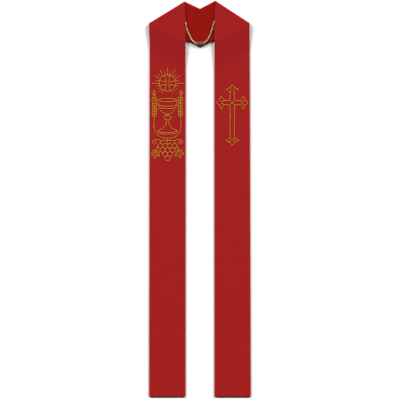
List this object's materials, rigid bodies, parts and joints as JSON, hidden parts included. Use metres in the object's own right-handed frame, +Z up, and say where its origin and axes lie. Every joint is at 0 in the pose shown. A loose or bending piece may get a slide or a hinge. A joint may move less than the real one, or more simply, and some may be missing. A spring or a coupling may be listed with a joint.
{
  "type": "clerical stole",
  "caption": "Long straight clerical stole laid flat, folded at the shoulders and mitred at the back neck, with gold line embroidery and a clasped chain across the neck.",
  "frame": {"origin": "on the surface the stole lies on, under the middle of its outline", "axes": "+Y from the hems to the neck, +X to the right as seen from above with the neck at the top, +Z up off the surface"},
  "size_m": [0.3609, 1.4016, 0.007],
  "materials": {
    "face_cloth": "matt plain weave, red",
    "lining": "soft satin, deeper red",
    "gold_thread": "rayon embroidery thread, old gold",
    "chain_metal": "polished, pale gold plating"
  },
  "bodies": {
    "root": {"stole_half_left": "face_cloth", "stole_half_right": "face_cloth", "neck_lining_left": "lining", "neck_lining_right": "lining", "neck_chain_left": "chain_metal", "neck_chain_right": "chain_metal", "chain_ring_left": "chain_metal", "chain_ring_right": "chain_metal", "clasp_eye": "chain_metal", "clasp_hook": "chain_metal", "embroidered_cross": "gold_thread", "embroidered_cross_knot": "gold_thread", "embroidered_host": "gold_thread", "embroidered_chalice": "gold_thread", "embroidered_wheat_left": "gold_thread", "embroidered_wheat_right": "gold_thread", "embroidered_vine": "gold_thread"}
  },
  "joints": []
}
